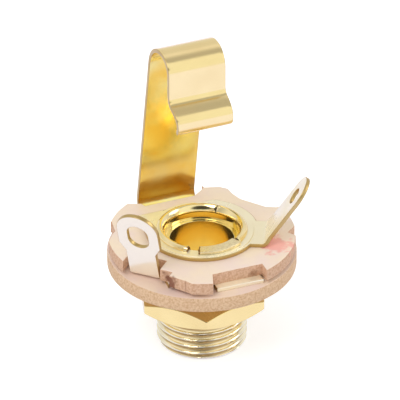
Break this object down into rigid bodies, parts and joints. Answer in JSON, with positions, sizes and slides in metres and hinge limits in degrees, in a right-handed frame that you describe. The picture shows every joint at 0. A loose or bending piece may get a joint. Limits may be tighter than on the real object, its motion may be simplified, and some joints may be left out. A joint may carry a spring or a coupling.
{
  "type": "panel mount jack socket",
  "caption": "Open-frame panel mount jack socket: a threaded bushing with a hex nut carries fibre wafers, a ground lug and a tip contact with a hooked spring leaf.",
  "frame": {"origin": "on the bushing's axis, in the plane of the flange's underside, where the panel seats", "axes": "+Z along the bushing's axis to the rear, from the plug's mouth towards the hooked end of the spring leaf; the spring leaf stands on the +Y side"},
  "size_m": [0.0216, 0.0202, 0.0343],
  "materials": {
    "bushing": "gold-plated brass, turned and rolled",
    "hex_nut": "gold-plated brass, bright",
    "lower_wafer": "pressed fibre board, mottled",
    "insulating_sleeve": "rolled fibre tube, dull",
    "tip_contact": "gold-plated spring brass, rolled and bent",
    "top_wafer": "pressed fibre board with rough cut edges",
    "ground_lug": "gold-plated brass sheet, coined"
  },
  "bodies": {
    "socket": {"bushing": "bushing", "lower_wafer": "lower_wafer", "insulating_sleeve": "insulating_sleeve", "tip_contact": "tip_contact", "top_wafer": "top_wafer", "ground_lug": "ground_lug"},
    "spring": {"tip_spring": "tip_contact"},
    "nut": {"hex_nut": "hex_nut"}
  },
  "joints": [
    {"name": "tip_spring_flex", "type": "hinge", "parent": "socket", "child": "spring", "pos_m": [-0.0003, 0.00973, 0.00549], "axis": [-1, 0, 0], "range_deg": [0, 18], "stiffness_Nm_per_rad": 0.19},
    {"name": "nut_travel", "type": "slide", "parent": "socket", "child": "nut", "axis": [0, 0, -1], "range_m": [0, 0.0047]}
  ]
}
